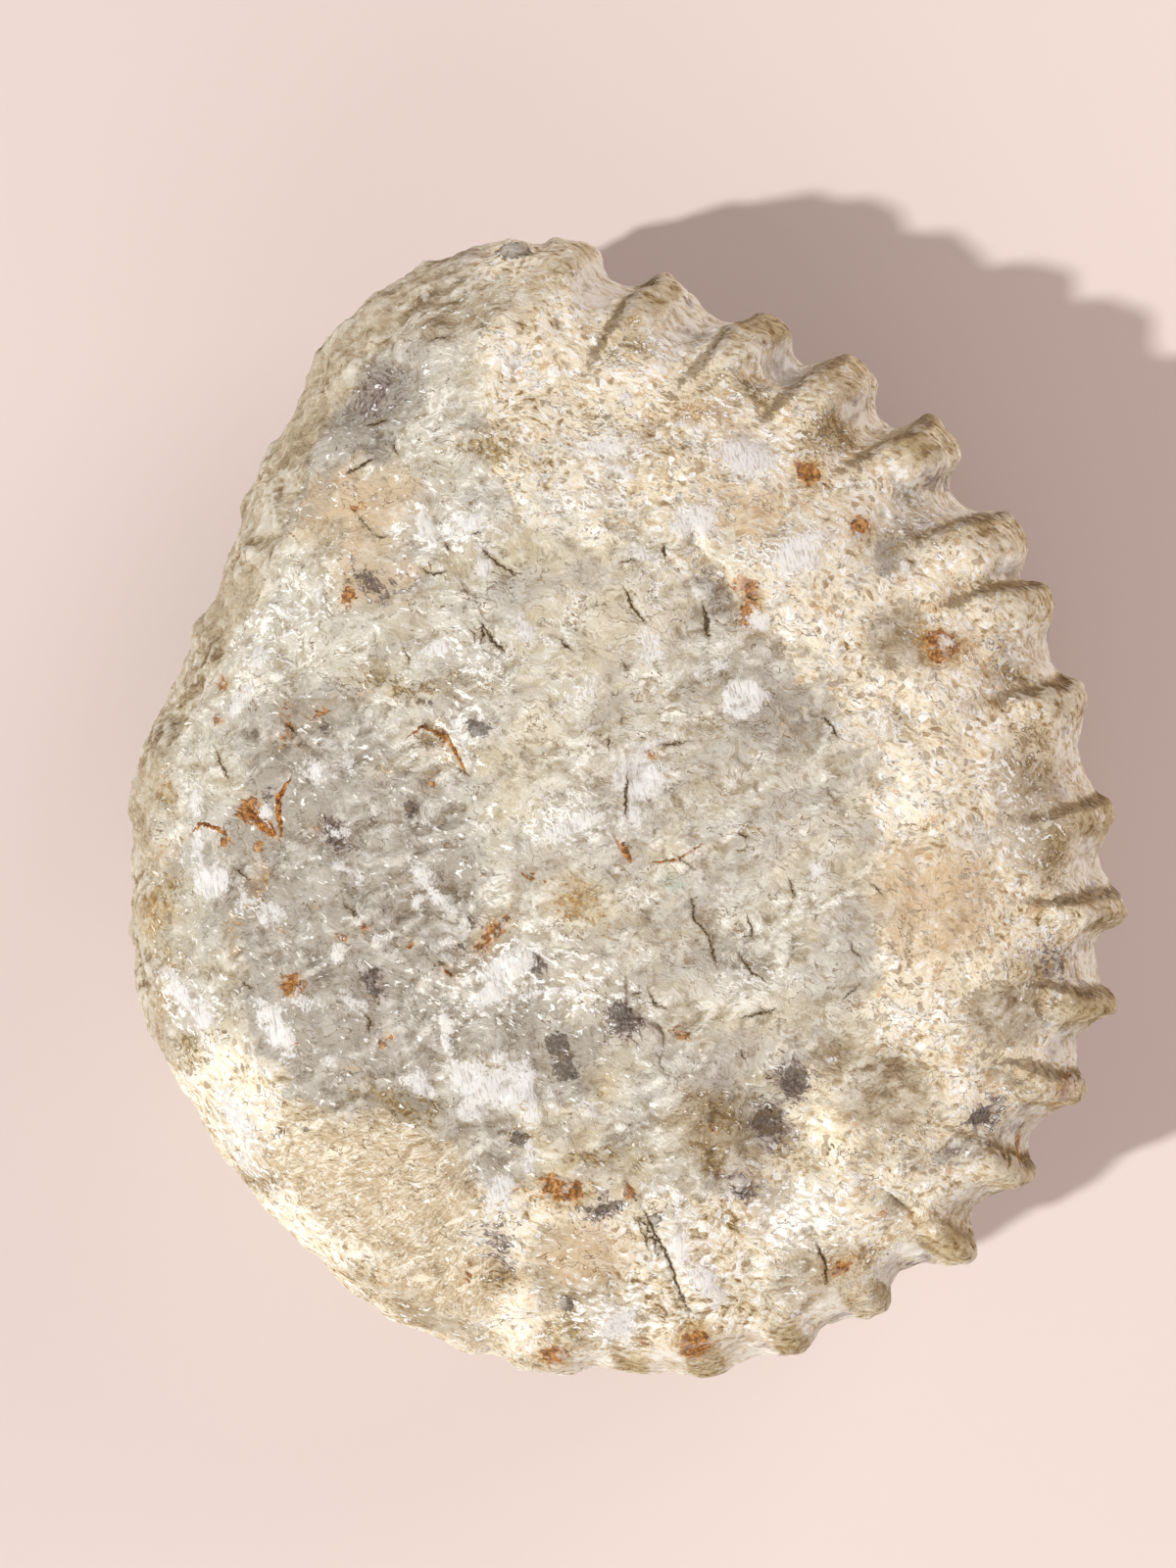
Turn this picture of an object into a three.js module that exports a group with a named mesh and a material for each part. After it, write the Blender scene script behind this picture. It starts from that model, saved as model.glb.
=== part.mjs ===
// Fossil ammonite: one solid piece of limestone, lying on its flank.
//
// The shell's last whorl is a logarithmic spiral about the coil's pole, with strong ribs that cross
// the venter, its outer edge. The mouth has broken away along an oblique face. Matrix, the rock that
// buried the shell, fills the umbilicus, the hollow in the middle of the coil, on the upper flank. On
// the lower flank the umbilicus is open and shows the inner whorls, and the whorl round it is worn
// flat where the fossil rests.
//
// Millimetres, +Z up. The origin is the centre of the bounding box's bottom, on the resting face.
// +X and +Y lie in the coil's plane, and the whorl grows anticlockwise, seen from above.
import * as THREE from "three";

// The coil, in its own plane.
const POLE = [-15.2, -18]; // where the coil winds from
const WHORL_RADIUS = 99.5; // from the pole to the furrows between ribs, due +X
const GROWTH_PER_TURN = 1.97;
const SWELLS = [{ at: -17, over: 20, by: 3.7 }, { at: -59, over: 15, by: 2.5 }]; // slight bulges
const WEAR = { at: -130, over: 24, by: 2.4 }; // the venter is rubbed down here
const SPIRAL_FROM = -150;
const SPIRAL_TO = 90;

// The broken mouth and the matrix beside it: [angle in degrees, distance from the pole].
const BROKEN_EDGE = [
  [92, 122], [96, 122], [105, 118], [112, 111], [118, 103], [126, 94], [136, 86], [148, 81],
  [162, 80], [174, 76], [198, 76],
];

// Each rib's angle and height on the venter. They come about every ten degrees.
const RIBS = [
  [-89, 3.5], [-79, 2.5], [-70, 4], [-60, 4.5], [-50, 5.5], [-39, 8], [-29, 6], [-19, 5.5],
  [-10, 6], [0, 5.5], [10, 4], [22, 3], [32, 4], [39, 5], [50, 5.5], [60, 4.5], [69, 3.5],
  [79, 3], [88, 6],
];
const WORN_RIBS = [[-140, 1], [-122, 1.5], [-110, 1], [-98, 2.5]];
const RIB_HALF_WIDTH = 3.0; // degrees, from the crest to where its side is steepest
const RIB_BEND = 26; // degrees that a rib near the mouth sweeps forward from rim to pole
const RIB_FADES = [0.58, 0.9]; // share of the whorl's radius where ribs start, and are full

// Heights.
const RIM_HEIGHT = 38;
const UPPER_FLANK = 79; // over the pole
const UPPER_TILT = [0.045, 0.055]; // the whorl thickens towards the mouth
const FLANK_SQUARENESS = 3.8; // 2 is an ellipse
const BROKEN_SQUARENESS = 2.9; // the same, above the broken edge
const LOWER_SINK = 4.2; // how much of the lower flank is worn away to the resting face
const RIB_ON_FLANK = 0.6; // rib height on the flanks, as a share of that on the venter

// The open umbilicus underneath.
const UMBILICUS = [0.33, 0.45]; // foot and top of its wall, as shares of the whorl's radius
const UMBILICUS_DEPTH = 9;
const INNER_WHORL_RELIEF = 1.7;

// The upper flank's broad hollows and swellings: [x, y, radius, height] from the pole.
const UPPER_RELIEF = [
  [43, 70, 17, 2.2], // the matrix stands proud of the shell
  [44, -33, 9, -3.2], // furrows that end at the umbilical shoulder
  [39, -50, 9, -3.0],
  [10, -60, 14, 1.6],
  [-40, 6, 26, -3.0], // the broken face in the body chamber
  [-40, 97, 15, -3.4],
  [-34, -50, 24, 1.8],
  [10, 42, 22, 1.4],
  [66, 8, 22, 1.4],
];

// The mesh.
const STEPS_PER_RIB = 8;
const STEPS_ON_BROKEN_EDGE = 50;
const STEPS_ON_WORN_VENTER = 22;
const OUTER_RINGS = [1, 0.988, 0.955, 0.905, 0.845, 0.775, 0.695, 0.61];
// Further in, a ring has a share of the radius and every how many spokes it holds.
const UPPER_INNER_RINGS = [[0.5, 2], [0.4, 2], [0.29, 2], [0.17, 4]];
const LOWER_INNER_RINGS = [
  [0.53, 1], [0.46, 2], [0.41, 2], [0.36, 2], [0.31, 2], [0.255, 2], [0.2, 2], [0.145, 2], [0.08, 4],
];

const radians = (degrees) => (degrees * Math.PI) / 180;
const smooth = (a, b, x) => THREE.MathUtils.smoothstep(x, a, b);
const bell = (x, width) => Math.exp(-(x * x) / (width * width));

function spiralRadius(degrees) {
  const plain = WHORL_RADIUS * GROWTH_PER_TURN ** (degrees / 360);
  const swell = SWELLS.reduce((sum, { at, over, by }) => sum + by * bell(degrees - at, over), 0);
  const wear = WEAR.by * bell(degrees - WEAR.at, WEAR.over);
  return plain + swell - wear;
}

const brokenEdge = new THREE.SplineCurve([
  new THREE.Vector2(SPIRAL_TO, spiralRadius(SPIRAL_TO)),
  ...BROKEN_EDGE.map(([degrees, radius]) => new THREE.Vector2(degrees, radius)),
  new THREE.Vector2(SPIRAL_FROM + 360, spiralRadius(SPIRAL_FROM)),
]);
const brokenEdgePoints = brokenEdge.getPoints(400);

function brokenRadius(degrees) {
  const next = brokenEdgePoints.findIndex((point) => point.x >= degrees);
  if (next <= 0) return brokenEdgePoints[next < 0 ? brokenEdgePoints.length - 1 : 0].y;
  const [a, b] = [brokenEdgePoints[next - 1], brokenEdgePoints[next]];
  return a.y + ((degrees - a.x) / (b.x - a.x)) * (b.y - a.y);
}

function furrowRadius(degrees) {
  return degrees <= SPIRAL_TO ? spiralRadius(degrees) : brokenRadius(degrees);
}

// The height of the ribs at an angle on the venter, or on the flank at a share of the radius.
function ribHeight(degrees, share) {
  const bend = RIB_BEND * smooth(5, 45, degrees) * (1 - share);
  let height = 0;
  for (const [angle, top] of [...RIBS, ...WORN_RIBS]) {
    const away = Math.abs(degrees - bend - angle) / RIB_HALF_WIDTH;
    height = Math.max(height, top * Math.exp(-(away ** 1.9)));
  }
  return height;
}

// Slow lumps, so that no stretch is perfectly regular.
function lump(x, y, z) {
  return (
    0.5 * Math.sin(0.11 * x + 0.07 * y + 1.3) * Math.sin(0.09 * y - 0.05 * z + 0.4) +
    0.35 * Math.sin(0.21 * x - 0.16 * y + 0.1 * z) * Math.sin(0.19 * y + 0.13 * x + 2.1)
  );
}

// How far a flank stands from the rim's plane, as a share, from 1 near the pole to 0 at the rim.
function flankProfile(share, squareness) {
  return Math.sqrt(Math.max(0, 1 - share ** squareness));
}

function upperHeight(x, y, share, degrees) {
  const flank = UPPER_FLANK + UPPER_TILT[0] * x + UPPER_TILT[1] * y;
  const broken = smooth(SPIRAL_TO, SPIRAL_TO + 14, degrees) * (1 - smooth(192, 209, degrees));
  const squareness = THREE.MathUtils.lerp(FLANK_SQUARENESS, BROKEN_SQUARENESS, broken);
  const onFlank = flankProfile(share, squareness);
  let height = RIM_HEIGHT + (flank - RIM_HEIGHT) * onFlank;
  height += RIB_ON_FLANK * ribHeight(degrees, share) * smooth(...RIB_FADES, share) * onFlank;
  for (const [atX, atY, radius, by] of UPPER_RELIEF) {
    height += by * bell(Math.hypot(x - atX, y - atY), radius) * onFlank;
  }
  return height + lump(x, y, height) * onFlank;
}

function lowerHeight(x, y, share, degrees) {
  const onFlank = flankProfile(share, FLANK_SQUARENESS);
  let height = RIM_HEIGHT * (1 - onFlank) - LOWER_SINK * onFlank;
  height -= RIB_ON_FLANK * ribHeight(degrees, share) * smooth(...RIB_FADES, share) * onFlank;
  const hollow = 1 - smooth(...UMBILICUS, share);
  // The inner whorls wind in with the same growth as the last one. They die out at the pole and
  // where they meet the wall.
  const radius = Math.hypot(x, y);
  const turns = Math.log(Math.max(radius, 1) / WHORL_RADIUS) / Math.log(GROWTH_PER_TURN);
  const dying = smooth(8, 22, radius) * (1 - smooth(0.27, 0.37, share));
  const whorl = Math.cos(2 * Math.PI * (turns - degrees / 360 - 0.5)) * dying;
  const floor = UMBILICUS_DEPTH - INNER_WHORL_RELIEF * whorl;
  return Math.max(0, height) * (1 - hollow) + floor * hollow;
}

// Spokes from the pole, closest where the ribs are.
function spokeAngles() {
  const angles = [];
  const fill = (from, to, steps) => {
    for (let i = 0; i < steps; i++) angles.push(from + ((to - from) * i) / steps);
  };
  const first = RIBS[0][0];
  const last = RIBS[RIBS.length - 1][0];
  fill(SPIRAL_FROM, first, STEPS_ON_WORN_VENTER);
  for (let i = 0; i + 1 < RIBS.length; i++) fill(RIBS[i][0], RIBS[i + 1][0], STEPS_PER_RIB);
  fill(last, SPIRAL_FROM + 360, STEPS_ON_BROKEN_EDGE);
  return angles;
}

function surfacePoint(degrees, share, side) {
  const reach = furrowRadius(degrees) + ribHeight(degrees, 1) * smooth(0.8, 1, share);
  const x = reach * share * Math.cos(radians(degrees));
  const y = reach * share * Math.sin(radians(degrees));
  let z = RIM_HEIGHT;
  if (side > 0) z = upperHeight(x, y, share, degrees);
  if (side < 0) z = lowerHeight(x, y, share, degrees);
  return [x + POLE[0], y + POLE[1], z];
}

// Rings of points from the upper pole down to the lower one. A ring holds every nth spoke.
function ammoniteGeometry() {
  const angles = spokeAngles();
  const positions = [];
  const index = [];
  const addRing = (share, side, every) => {
    const ring = { start: positions.length / 3, count: angles.length / every };
    for (let i = 0; i < angles.length; i += every) {
      positions.push(...surfacePoint(angles[i], share, side));
    }
    return ring;
  };
  const at = (ring, i) => ring.start + (i % ring.count);
  const addTriangle = (a, b, c, flipped) => index.push(...(flipped ? [a, c, b] : [a, b, c]));
  // Joins an inner ring to an outer one that has as many points, or a whole multiple.
  const join = (inner, outer, flipped) => {
    const ratio = outer.count / inner.count;
    for (let i = 0; i < inner.count; i++) {
      const middle = Math.ceil(ratio / 2);
      for (let j = 0; j < ratio; j++) {
        const corner = at(inner, j < middle ? i : i + 1);
        addTriangle(corner, at(outer, i * ratio + j), at(outer, i * ratio + j + 1), flipped);
        if (j === middle - 1) {
          addTriangle(at(inner, i), at(outer, i * ratio + middle), at(inner, i + 1), flipped);
        }
      }
    }
  };
  const rim = addRing(OUTER_RINGS[0], 0, 1);
  for (const side of [1, -1]) {
    const flipped = side < 0;
    let outer = rim;
    const innerRings = side > 0 ? UPPER_INNER_RINGS : LOWER_INNER_RINGS;
    const inward = [...OUTER_RINGS.slice(1).map((share) => [share, 1]), ...innerRings];
    for (const [share, every] of inward) {
      const inner = addRing(share, side, every);
      join(inner, outer, flipped);
      outer = inner;
    }
    const pole = positions.length / 3;
    positions.push(...surfacePoint(0, 0, side));
    for (let i = 0; i < outer.count; i++) addTriangle(pole, at(outer, i), at(outer, i + 1), flipped);
  }
  const geometry = new THREE.BufferGeometry();
  geometry.setAttribute("position", new THREE.Float32BufferAttribute(positions, 3));
  geometry.setIndex(index);
  geometry.computeVertexNormals();
  return geometry;
}

const limestone = new THREE.MeshStandardMaterial({ color: 0xc9b796, roughness: 0.9, metalness: 0 });
const ammonite = new THREE.Mesh(ammoniteGeometry(), limestone);
ammonite.name = "ammonite";

const fossil = new THREE.Group();
fossil.add(ammonite);
export default fossil;
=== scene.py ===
# %% [markdown]
# # A fossil ammonite, from plain block to finished stone
#
# The real thing is one piece of limestone: the last whorl of a coiled shell, turned to stone, with
# the rock that buried it still sitting in the hollow of the coil. It lies on its flank.
#
# The block has the right size and place already, as the frame. Here a copy of it is cut finer,
# carved and painted, as a replica maker would work a casting: big shapes first, then chips and
# cracks, then colour. Lengths are in millimetres in the frame's own axes, +X right, +Y up the coil
# and +Z up from the table, and places on the upper side are told by the clock, as explained below.

import bmesh
import bpy
import numpy as np
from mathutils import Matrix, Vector, noise


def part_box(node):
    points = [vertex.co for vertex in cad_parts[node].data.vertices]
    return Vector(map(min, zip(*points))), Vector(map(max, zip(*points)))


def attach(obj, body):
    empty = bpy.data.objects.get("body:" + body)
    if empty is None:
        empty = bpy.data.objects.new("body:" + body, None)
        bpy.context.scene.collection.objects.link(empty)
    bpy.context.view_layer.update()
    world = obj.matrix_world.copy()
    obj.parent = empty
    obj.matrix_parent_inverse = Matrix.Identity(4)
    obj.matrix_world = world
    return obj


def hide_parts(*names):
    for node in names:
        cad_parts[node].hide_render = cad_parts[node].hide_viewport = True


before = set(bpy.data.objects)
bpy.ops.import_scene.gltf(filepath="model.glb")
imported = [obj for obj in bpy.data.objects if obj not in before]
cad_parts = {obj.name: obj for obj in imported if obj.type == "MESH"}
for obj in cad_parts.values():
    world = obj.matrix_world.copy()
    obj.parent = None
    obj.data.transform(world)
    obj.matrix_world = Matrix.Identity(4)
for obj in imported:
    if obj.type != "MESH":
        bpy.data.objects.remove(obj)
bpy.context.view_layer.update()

MM = 0.001
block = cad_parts["ammonite"]
low, high = (np.array(corner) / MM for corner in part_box("ammonite"))
print("block, mm:", (high - low).round(1), "triangles:", len(block.data.polygons))

# %% [markdown]
# ## Reading the coil off the block
#
# A whorl is easiest to think of from the pole, the point it coils about: an angle round the coil,
# and a share of the way from the pole to the outer edge. The edge is the widest line of the block,
# its rim, and every rib makes a peak on it. Measuring the rim here keeps the carving in step with
# the block's own ribs.

# %% Find the rim, the ribs and the furrows between them
POLE = np.array([-15.2, -18.0])
RIM_HEIGHT = 38.0
ON_RIM = 0.05  # millimetres, the most that a point of the rim is above or below it
MOUTH_AT = 92.0  # degrees; past this the edge is broken rock, not shell
MOUTH_FADES_IN = 8.0  # degrees
MOUTH_ENDS = (196.0, 208.0)  # degrees; shell again past the second
SEAM_AT = -150.0  # degrees; angles run on from here, once round


def rows_of(mesh, what):
    """The place or the normal of each of the mesh's vertices, as rows of x, y, z."""
    flat = np.empty(len(mesh.vertices) * 3, np.float32)
    mesh.vertices.foreach_get(what, flat)
    return flat.reshape(-1, 3).astype(float)


def points_of(mesh):
    """The mesh's vertices in millimetres."""
    return rows_of(mesh, "co") / MM


def round_the_coil(points):
    """Each point's angle round the pole in degrees, and its distance from it."""
    away = points[:, :2] - POLE
    degrees = np.degrees(np.arctan2(away[:, 1], away[:, 0]))
    return np.where(degrees < SEAM_AT, degrees + 360, degrees), np.hypot(away[:, 0], away[:, 1])


block_points = points_of(block.data)
on_rim = np.abs(block_points[:, 2] - RIM_HEIGHT) < ON_RIM
rim_angle, rim_radius = round_the_coil(block_points[on_rim])
rim_angle, first_of_each = np.unique(rim_angle.round(2), return_index=True)
rim_radius = rim_radius[first_of_each]

before, after = np.roll(rim_radius, 1), np.roll(rim_radius, -1)
is_crest = (rim_radius > before) & (rim_radius >= after) & (rim_angle < MOUTH_AT)
crest_angle = rim_angle[is_crest]

FINE = np.arange(SEAM_AT, SEAM_AT + 360, 0.5)
NEAR = 11  # half-degree steps that reach from a crest into the furrows beside it
fine_rim = np.interp(FINE, rim_angle, rim_radius, period=360)
furrow = np.min([np.roll(fine_rim, step) for step in range(-NEAR, NEAR + 1)], axis=0)
furrow = np.mean([np.roll(furrow, step) for step in range(-NEAR, NEAR + 1)], axis=0)
crest_height = np.interp(crest_angle, rim_angle, rim_radius) - np.interp(crest_angle, FINE, furrow)
print("ribs:", len(crest_angle), "tallest, mm:", crest_height.max().round(1))

# %% [markdown]
# ## A fine, even skin
#
# The block has under ten thousand flat triangles. Subdividing rounds them off, and a voxel remesh
# lays an even skin of small squares over the result. An even skin is what carving needs: each point
# then carries the same small patch of stone. The squares set the finest chip that can be carved.

# %% Copy, weld, round and remesh the block
SKIN = 0.7  # millimetres between points
WELD = 0.01  # millimetres, points closer than this become one
UPPER_SIDE = (-6, 8)  # millimetres over the rim, where the upper side fades in


def put(name, data):
    """A new object in the scene."""
    thing = bpy.data.objects.new(name, data)
    bpy.context.scene.collection.objects.link(thing)
    return thing


def with_modifier(mesh, kind, **settings):
    """A new mesh: the given one after one modifier."""
    carrier = put("carrier", mesh)
    modifier = carrier.modifiers.new(kind, kind)
    for name, value in settings.items():
        setattr(modifier, name, value)
    ready = carrier.evaluated_get(bpy.context.evaluated_depsgraph_get())
    result = bpy.data.meshes.new_from_object(ready)
    bpy.data.objects.remove(carrier)
    return result


welded = bmesh.new()
welded.from_mesh(block.data)
bmesh.ops.remove_doubles(welded, verts=welded.verts, dist=WELD * MM)
rough_mesh = bpy.data.meshes.new("rough")
welded.to_mesh(rough_mesh)
welded.free()
rounded = with_modifier(rough_mesh, "SUBSURF", levels=2)
skin = with_modifier(rounded, "REMESH", mode="VOXEL", voxel_size=SKIN * MM)
points = points_of(skin)
print("skin points:", len(points))

# %% Helpers for working on every point at once


def smooth(start, end, value):
    """0 up to start, 1 past end, and a gentle slope between."""
    t = np.clip((value - start) / (end - start), 0, 1)
    return t * t * (3 - 2 * t)


def bell(value, width):
    return np.exp(-((value / width) ** 2))


def cos_sin(degrees):
    return np.cos(np.radians(degrees)), np.sin(np.radians(degrees))


def lumps(points, size, octaves=3, stretch=(1, 1, 1), turn=0, shift=0):
    """Fractal noise from about -1 to 1, with lumps of the given size in millimetres."""
    c, s = cos_sin(turn)
    turned = points @ np.array([(c, -s, 0), (s, c, 0), (0, 0, 1)])
    scaled = turned / (np.array(stretch) * size) + shift
    return np.array([noise.fractal(p, 1.0, 2.1, octaves) for p in scaled.tolist()])


def shakes(points, size, octaves, shifts):
    """As many different noises as there are shifts, side by side."""
    return np.stack([lumps(points, size, octaves, shift=n) for n in shifts], axis=1)


def neighbours(mesh):
    """The mesh's edges as two lists of point numbers, and how many edges each point has."""
    ends = np.empty(len(mesh.edges) * 2, np.int32)
    mesh.edges.foreach_get("vertices", ends)
    a, b = ends.reshape(-1, 2).T
    return a, b, np.bincount(ends, minlength=len(mesh.vertices))


def soften(values, mesh_edges, rounds):
    """Averages each point's values with its neighbours', again and again."""
    a, b, count = mesh_edges
    for _ in range(rounds):
        total = np.empty_like(values)
        for axis in range(values.shape[1]):
            column = values[:, axis]
            total[:, axis] = np.bincount(a, column[b], len(column)) + np.bincount(b, column[a], len(column))
        values = 0.5 * values + 0.5 * total / count[:, None]
    return values


def broken_mouth(degrees):
    """1 where the coil's edge is broken rock, 0 where it is shell."""
    return smooth(MOUTH_AT, MOUTH_AT + MOUTH_FADES_IN, degrees) * (1 - smooth(*MOUTH_ENDS, degrees))


skin_edges = neighbours(skin)
points = soften(points, skin_edges, 6)
outward = soften(rows_of(skin, "normal"), skin_edges, 24)
outward /= np.linalg.norm(outward, axis=1)[:, None]
degrees, radius = round_the_coil(points)
share = radius / np.interp(degrees, FINE, furrow)
height = points[:, 2] - RIM_HEIGHT

# %% [markdown]
# ## Ribs
#
# On the living shell each rib was a pleat. In stone it is a narrow ridge with a smooth scoop on
# either side, and its crest comes to a sharp lip at the rim. Towards the mouth the lip overhangs the
# scoop below it, and further back it leans the other way. The block has plain rounded ribs, so the
# carving here adds the difference between the two profiles, and lets the ribs die out on the flank.

# %% Carve the ribs
BLOCK_RIB = 3.0  # degrees from the crest to the steepest point, on the block
BLOCK_ON_RIM, BLOCK_ON_FLANK = (0.8, 1), (0.58, 0.9)
BLOCK_FLANK_HEIGHT = 0.6  # rib height on the flank, as a share of that on the rim, on the block
RIB_SWEEP = 26.0  # degrees that a rib near the mouth sweeps forward from rim to pole
# Each row is an angle, then how square the ribs near it are, how many degrees their clockwise and
# anticlockwise sides take, how deep the scoop between them is, and where they start on the flank.
RIB_FORMS = np.array([
    (-90, 2.4, 3.8, 3.8, 0.0, 0.90),
    (-60, 2.2, 3.6, 3.2, 0.2, 0.88),
    (-42, 1.9, 3.3, 2.6, 0.5, 0.86),
    (-30, 1.8, 3.2, 2.4, 0.8, 0.83),
    (-15, 1.7, 2.3, 3.4, 0.8, 0.82),
    (0, 1.7, 2.3, 3.2, 0.8, 0.82),
    (12, 2.0, 3.2, 2.1, 1.0, 0.82),
    (30, 2.0, 3.0, 2.6, 1.4, 0.80),
    (39, 3.6, 3.5, 3.3, 2.0, 0.78),
    (68, 3.6, 2.9, 2.9, 2.0, 0.78),
    (79, 2.0, 2.6, 2.0, 1.4, 0.80),
    (88, 3.0, 3.0, 3.0, 1.6, 0.80),
])
LAST_RIB = -84.0  # degrees; further back, rock hides the ribs
LIP_AT = 0.6  # share of a rib's anticlockwise side where its crust ends in a small step
LIP_HEIGHT = 0.8  # millimetres
SHARP_RIBS = (-60, -25)  # degrees; ribs have a lip past the second, and none before the first
RIB_REACH = 0.19  # share of the radius from where a rib starts to where it is full
MOST_CUT, MOST_RAISED = -5, 4  # limits on what the rib carving moves, in millimetres


def sweep(degrees, share):
    """How far a rib has swept forward at this share of the way to the rim."""
    return RIB_SWEEP * smooth(5, 45, degrees) * (1 - np.minimum(share, 1))


def wandering(points, swept):
    """The same angle, pushed about a little so that no rib is quite straight."""
    return swept + 0.6 * lumps(points, 11, 2)


def form(column, angle):
    return np.interp(angle, RIB_FORMS[:, 0], RIB_FORMS[:, column])


def rounded_ribs(angle):
    heights = [top * np.exp(-(np.abs((angle - crest) / BLOCK_RIB) ** 1.9))
               for crest, top in zip(crest_angle, crest_height)]
    return np.max(heights, axis=0)


def knuckled_ribs(angle):
    """Ribs with their own steep and gentle sides, and the scoops between them."""
    strongest = np.zeros(len(angle))
    heights = np.zeros(len(angle))
    for crest, top in zip(crest_angle, crest_height):
        away = angle - crest
        width = np.where(away > 0, form(3, crest), form(2, crest))
        profile = np.exp(-(np.abs(away / width) ** form(1, crest)))
        lip = smooth(0.4, -0.4, away - LIP_AT * form(3, crest)) * profile
        lip *= LIP_HEIGHT * smooth(*SHARP_RIBS, crest)
        heights = np.maximum(heights, (top - 0.9) * profile + lip)
        strongest = np.maximum(strongest, profile)
    return heights - form(4, angle) * (1 - strongest)


swept = degrees - sweep(degrees, share)
rib_angle = wandering(points, swept)
level = np.abs(outward[:, 2])
across = np.sqrt(1 - np.minimum(level, 1) ** 2)
blocks_own = rounded_ribs(swept) * np.maximum(
    smooth(*BLOCK_ON_RIM, share) * across, BLOCK_FLANK_HEIGHT * smooth(*BLOCK_ON_FLANK, share) * level)
start = form(5, rib_angle)
on_shell = 1 - smooth(MOUTH_AT - 5, MOUTH_AT, swept)
carved = knuckled_ribs(rib_angle) * smooth(start, start + RIB_REACH, share)
carved = np.clip(carved - blocks_own, MOST_CUT, MOST_RAISED) * on_shell
points += outward * carved[:, None]
print("ribs moved the skin by, mm:", carved.min().round(2), "to", carved.max().round(2))

# %% [markdown]
# ## Swellings, hollows and ledges
#
# The rock that fills the shell didn't break evenly. Some places swell, some are scooped out, and
# where a slab has come away it leaves a ledge. A swelling is an oval with a height, and a ledge is a
# line with a drop on its right-hand side that fades as it goes away.

# %% Measure a point against a line and an oval


def beside(points, route):
    """Each point's signed distance from a line, + on its right, its distance, and how near it is
    to the line's middle, from 0 at the ends to 1."""
    offset = np.full(len(points), 99.0)
    nearest = np.full(len(points), 99.0)
    middle = np.zeros(len(points))
    route = np.array(route, float)
    lengths = np.hypot(*np.diff(route, axis=0).T)
    done = 0.0
    for start, end, length in zip(route[:-1], route[1:], lengths):
        along = (end - start) / length
        away = points[:, :2] - start
        t = away @ along
        side = away[:, 0] * along[1] - away[:, 1] * along[0]
        inside = np.clip(t, 0, length)
        distance = np.hypot(side, t - inside)
        better = distance < nearest
        nearest[better] = distance[better]
        offset[better] = np.copysign(distance, side)[better]
        middle[better] = 1 - np.abs(2 * (done + inside[better]) / lengths.sum() - 1)
        done += length
    return offset, nearest, middle


def inside_oval(points, x, y, long, wide, turn):
    """1 in the middle of an oval, 0 on its edge, and negative outside."""
    across = points[:, :2] - (x, y)
    c, s = cos_sin(turn)
    u = (across[:, 0] * c + across[:, 1] * s) / long
    v = (across[:, 1] * c - across[:, 0] * s) / wide
    return 1 - np.hypot(u, v)


# %% [markdown]
# ## Telling a place by the clock
#
# Most of what follows lies somewhere on the upper side, and a collector would say where without a
# ruler: half past six, a third of the way out. The hour is read round the pole, with twelve at the
# top of the mouth, and may run on past twelve, so 14 is two o'clock. The share runs from 0 at the
# pole to 1 in the furrows of the rim. So every place is worked out from the rim that was measured
# above, and moves with it if the block changes.

# %% Turn an hour and a share into millimetres


def at(hour, out):
    """The place at this hour, this share of the way from the pole to the rim."""
    angle = 90 - 30 * hour
    return POLE + out * np.interp(angle, FINE, furrow, period=360) * np.array(cos_sin(angle))


def ovals(rows):
    """Ovals from rows of hour, share, half length, half width and, where there is one, turn."""
    return [(*at(hour, out), long, wide, *(turn or [0])) for hour, out, long, wide, *turn in rows]


def routes(rows):
    """Lines with their width in millimetres and their stops told by the clock."""
    return [(width, [at(*stop) for stop in stops]) for width, stops in rows]


# %% Place the swellings and the ledges
# A swelling is its hour and share, its half length and half width in millimetres, its turn in
# degrees, and its height.
SWELLINGS = [
    (1.15, 0.68, 13, 10, 30, 3.0), (12.95, 0.56, 8, 4, -48, -2.0), (4.4, 0.56, 14, 8, -50, -4.0),
    (4.6, 0.38, 10, 8, 0, 1.5), (3.2, 0.32, 11, 9, 0, -1.5), (12.3, 0.15, 15, 7, 10, 1.5),
    (7.1, 0.72, 22, 15, -38, 1.5), (11.4, 0.88, 12, 10, 50, -2.5), (11.92, 0.98, 3, 2.5, 0, 1.5),
    (6, 0.92, 8, 6, 0, 2.0), (5.35, 0.9, 7, 6, 0, 1.5), (9.5, 0.3, 17, 11, -30, -1.5),
    (12.8, 0.93, 5, 4, -60, -2.0), (12.45, 0.9, 5, 4, -20, -1.5), (1.38, 0.88, 5, 4, -50, -1.8),
    (2.1, 0.86, 6, 3, -15, -1.2), (9, 0.68, 6, 14, 0, 1.0),
]
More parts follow.
